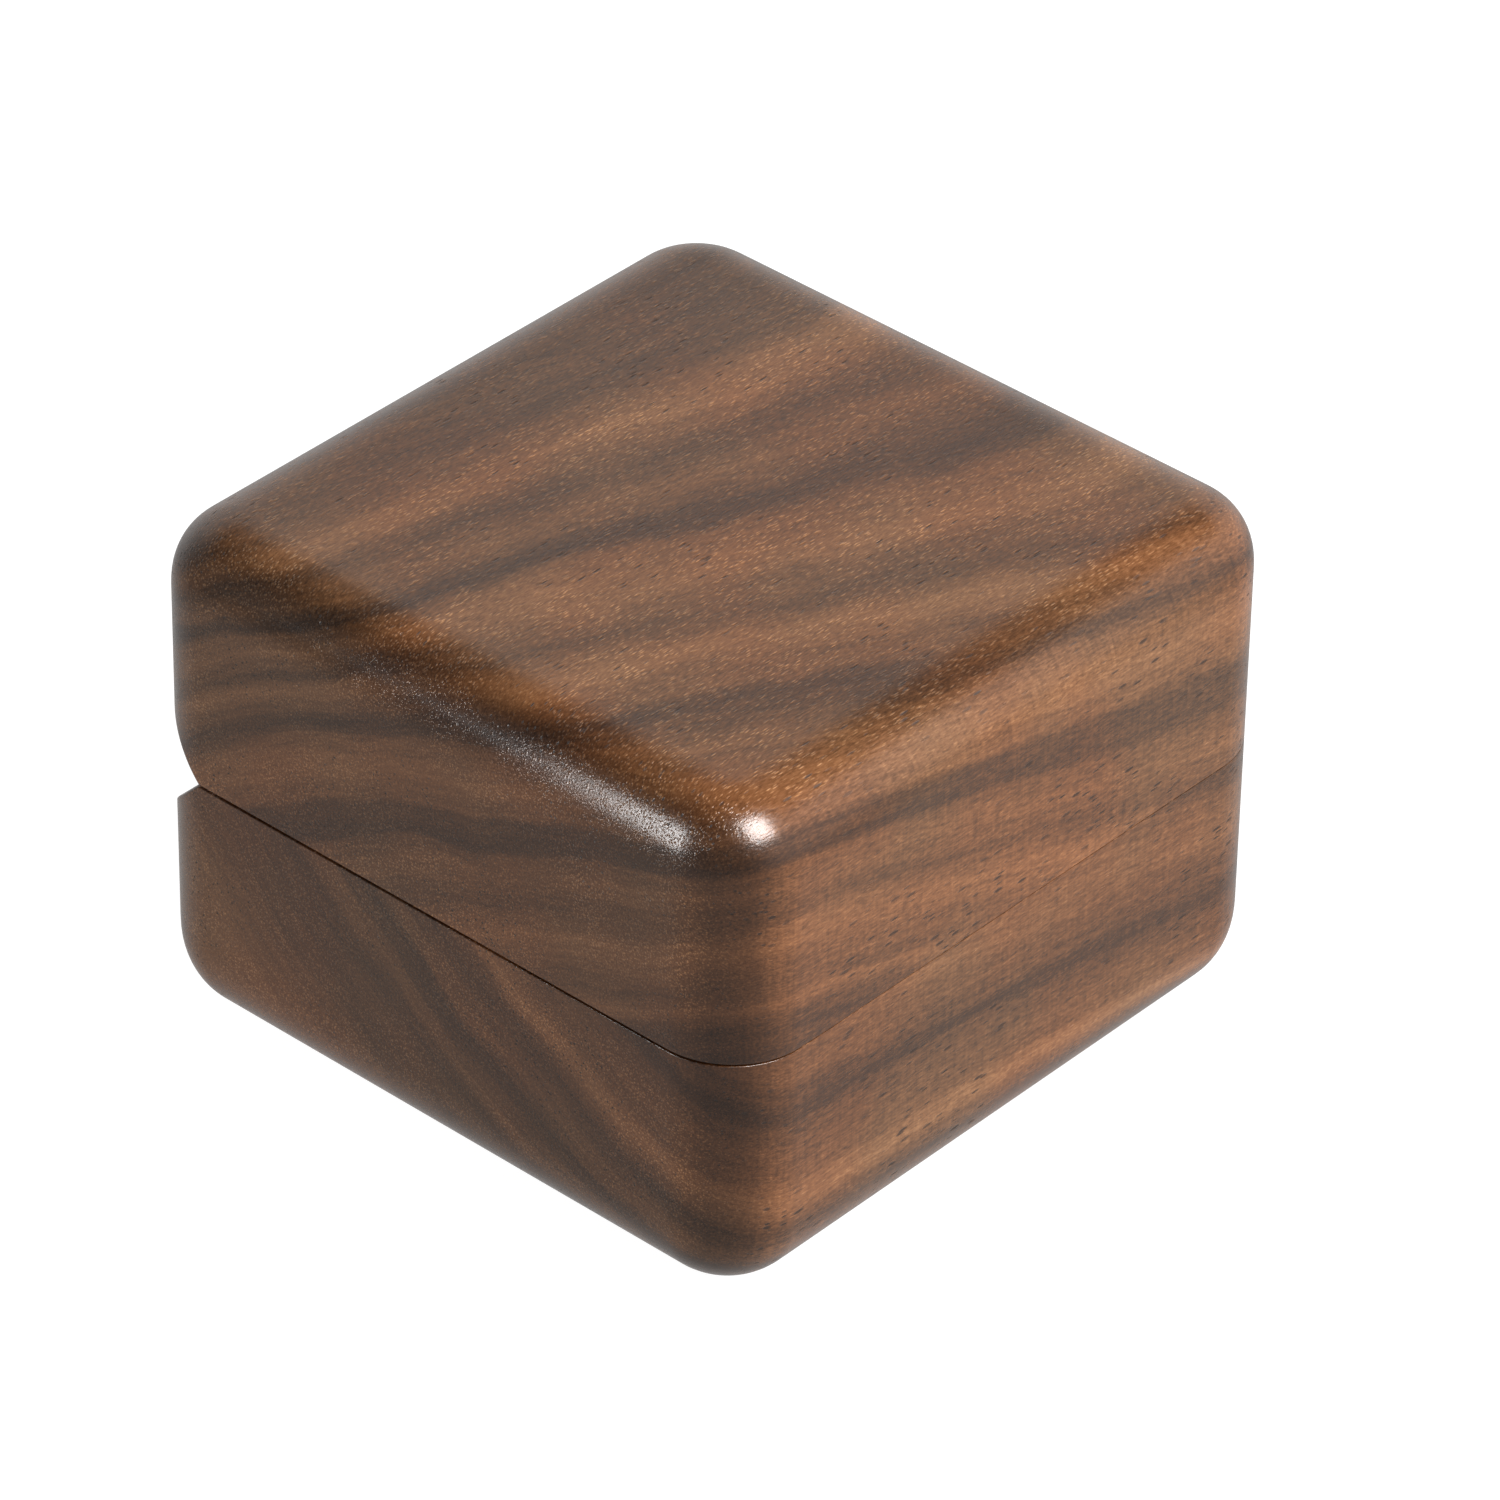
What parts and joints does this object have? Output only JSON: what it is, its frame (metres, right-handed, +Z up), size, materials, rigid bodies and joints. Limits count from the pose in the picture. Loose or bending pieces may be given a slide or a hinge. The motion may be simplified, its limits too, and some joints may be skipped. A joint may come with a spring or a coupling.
{
  "type": "ring box",
  "caption": "Small square wooden ring box with well-rounded edges, a lid on concealed barrel hinges, magnets in the rims and a slotted ring cushion.",
  "frame": {"origin": "middle of the flat face that the closed box stands on", "axes": "+Z up; the front that opens faces -Y; the hinges lie along the back at +Y; X runs across the box"},
  "size_m": [0.055, 0.0544, 0.0396],
  "materials": {
    "walnut_base": "oiled and waxed walnut, semi-gloss",
    "walnut_lid": "oiled and waxed walnut, semi-gloss",
    "hinge_brass": "turned brass",
    "pin_steel": "ground steel",
    "magnet_nickel": "nickel plate",
    "cushion_velvet": "short-pile velvet",
    "lid_velvet": "short-pile velvet",
    "card": "dark card faced with cloth"
  },
  "bodies": {
    "base": {"base_body": "walnut_base", "base_barrel_left": "hinge_brass", "base_barrel_right": "hinge_brass", "base_pin_left": "pin_steel", "base_pin_right": "pin_steel", "base_magnet_left": "magnet_nickel", "base_magnet_right": "magnet_nickel", "cushion_board": "card", "cushion_front": "cushion_velvet", "cushion_back": "cushion_velvet"},
    "hinge_links": {"hinge_link_left": "hinge_brass", "hinge_link_right": "hinge_brass"},
    "lid": {"lid_body": "walnut_lid", "lid_barrel_left": "hinge_brass", "lid_barrel_right": "hinge_brass", "lid_pin_left": "pin_steel", "lid_pin_right": "pin_steel", "lid_magnet_left": "magnet_nickel", "lid_magnet_right": "magnet_nickel", "lid_board": "card", "lid_pad": "lid_velvet"}
  },
  "joints": [
    {"name": "links_swing", "type": "hinge", "parent": "base", "child": "hinge_links", "pos_m": [0, 0.0212, 0.0186], "axis": [-1, 0, 0], "range_deg": [0, 45]},
    {"name": "lid_swing", "type": "hinge", "parent": "hinge_links", "child": "lid", "pos_m": [0, 0.0212, 0.0226], "axis": [-1, 0, 0], "range_deg": [0, 45]}
  ],
  "couplings": [
    {"joint": "lid_swing", "follows": "links_swing", "ratio": 1}
  ]
}
